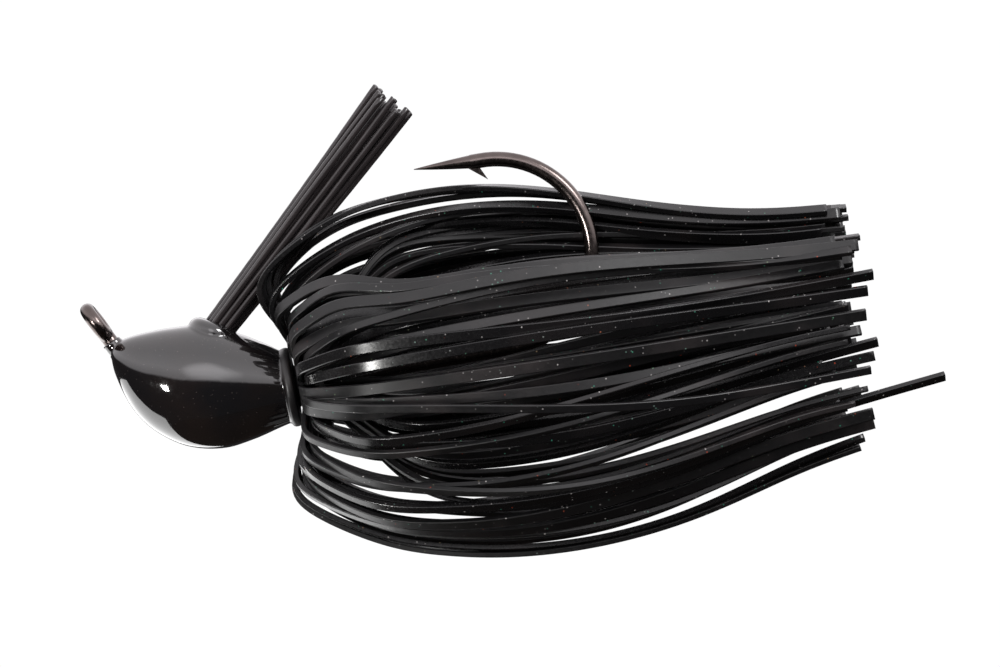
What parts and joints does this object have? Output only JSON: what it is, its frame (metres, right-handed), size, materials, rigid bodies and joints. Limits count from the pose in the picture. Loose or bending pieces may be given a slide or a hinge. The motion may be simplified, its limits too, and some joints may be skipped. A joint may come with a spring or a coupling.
{
  "type": "skirted fishing jig",
  "caption": "Weighted fishing jig: painted lead head on a forged hook, fibre weed guard, and a silicone skirt of flat strands tied behind the head.",
  "frame": {"origin": "centre of the line-tie eye", "axes": "+X along the hook shank to the bend and the skirt's tails, +Y across the hook, +Z from the shank towards the hook point"},
  "size_m": [0.0831, 0.0392, 0.0499],
  "materials": {
    "hook_steel": "black nickel over forged wire, semi-bright",
    "head_paint": "high-gloss black paint over cast lead",
    "guard_fibre": "black nylon fibre, semi-gloss",
    "band_rubber": "black rubber",
    "skirt_silicone": "black silicone with sparse flake"
  },
  "bodies": {
    "head_and_hook": {"hook": "hook_steel", "head_casting": "head_paint", "guard_base": "guard_fibre", "skirt_band": "band_rubber"},
    "guard": {"guard_bristle_01": "guard_fibre", "guard_bristle_02": "guard_fibre", "guard_bristle_03": "guard_fibre", "guard_bristle_04": "guard_fibre", "guard_bristle_05": "guard_fibre", "guard_bristle_06": "guard_fibre", "guard_bristle_07": "guard_fibre", "guard_bristle_08": "guard_fibre", "guard_bristle_09": "guard_fibre", "guard_bristle_10": "guard_fibre", "guard_bristle_11": "guard_fibre", "guard_bristle_12": "guard_fibre", "guard_bristle_13": "guard_fibre", "guard_bristle_14": "guard_fibre", "guard_bristle_15": "guard_fibre", "guard_bristle_16": "guard_fibre", "guard_bristle_17": "guard_fibre", "guard_bristle_18": "guard_fibre", "guard_bristle_19": "guard_fibre"},
    "skirt_right_upper": {"skirt_strand_01": "skirt_silicone", "skirt_strand_02": "skirt_silicone", "skirt_strand_03": "skirt_silicone", "skirt_strand_04": "skirt_silicone", "skirt_strand_05": "skirt_silicone", "skirt_strand_06": "skirt_silicone", "skirt_strand_07": "skirt_silicone", "skirt_strand_08": "skirt_silicone"},
    "skirt_right_lower": {"skirt_strand_09": "skirt_silicone", "skirt_strand_10": "skirt_silicone", "skirt_strand_11": "skirt_silicone", "skirt_strand_12": "skirt_silicone", "skirt_strand_13": "skirt_silicone", "skirt_strand_14": "skirt_silicone"},
    "skirt_bottom": {"skirt_strand_15": "skirt_silicone", "skirt_strand_16": "skirt_silicone", "skirt_strand_17": "skirt_silicone", "skirt_strand_18": "skirt_silicone", "skirt_strand_19": "skirt_silicone", "skirt_strand_20": "skirt_silicone"},
    "skirt_left_lower": {"skirt_strand_21": "skirt_silicone", "skirt_strand_22": "skirt_silicone", "skirt_strand_23": "skirt_silicone", "skirt_strand_24": "skirt_silicone", "skirt_strand_25": "skirt_silicone", "skirt_strand_26": "skirt_silicone"},
    "skirt_left_upper": {"skirt_strand_27": "skirt_silicone", "skirt_strand_28": "skirt_silicone", "skirt_strand_29": "skirt_silicone", "skirt_strand_30": "skirt_silicone", "skirt_strand_31": "skirt_silicone", "skirt_strand_32": "skirt_silicone", "skirt_strand_33": "skirt_silicone", "skirt_strand_34": "skirt_silicone"}
  },
  "joints": [
    {"name": "guard_flex", "type": "hinge", "parent": "head_and_hook", "child": "guard", "pos_m": [0.0125, 0, -0.00213], "axis": [0, 1, 0], "range_deg": [-20, 7.5], "stiffness_Nm_per_rad": 0.02},
    {"name": "skirt_right_upper_flare", "type": "hinge", "parent": "head_and_hook", "child": "skirt_right_upper", "pos_m": [0.0209, 0.00264, -0.0075], "axis": [0, -0.6428, 0.766], "range_deg": [-1, 12], "stiffness_Nm_per_rad": 0.006},
    {"name": "skirt_right_lower_flare", "type": "hinge", "parent": "head_and_hook", "child": "skirt_right_lower", "pos_m": [0.0209, 0.00299, -0.01145], "axis": [0, 0.5, 0.866], "range_deg": [-1, 12], "stiffness_Nm_per_rad": 0.006},
    {"name": "skirt_bottom_flare", "type": "hinge", "parent": "head_and_hook", "child": "skirt_bottom", "pos_m": [0.0209, 0, -0.01317], "axis": [0, 1, 0], "range_deg": [-1, 12], "stiffness_Nm_per_rad": 0.006},
    {"name": "skirt_left_lower_flare", "type": "hinge", "parent": "head_and_hook", "child": "skirt_left_lower", "pos_m": [0.0209, -0.00299, -0.01145], "axis": [0, 0.5, -0.866], "range_deg": [-1, 12], "stiffness_Nm_per_rad": 0.006},
    {"name": "skirt_left_upper_flare", "type": "hinge", "parent": "head_and_hook", "child": "skirt_left_upper", "pos_m": [0.0209, -0.00264, -0.0075], "axis": [0, -0.6428, -0.766], "range_deg": [-1, 12], "stiffness_Nm_per_rad": 0.006}
  ]
}
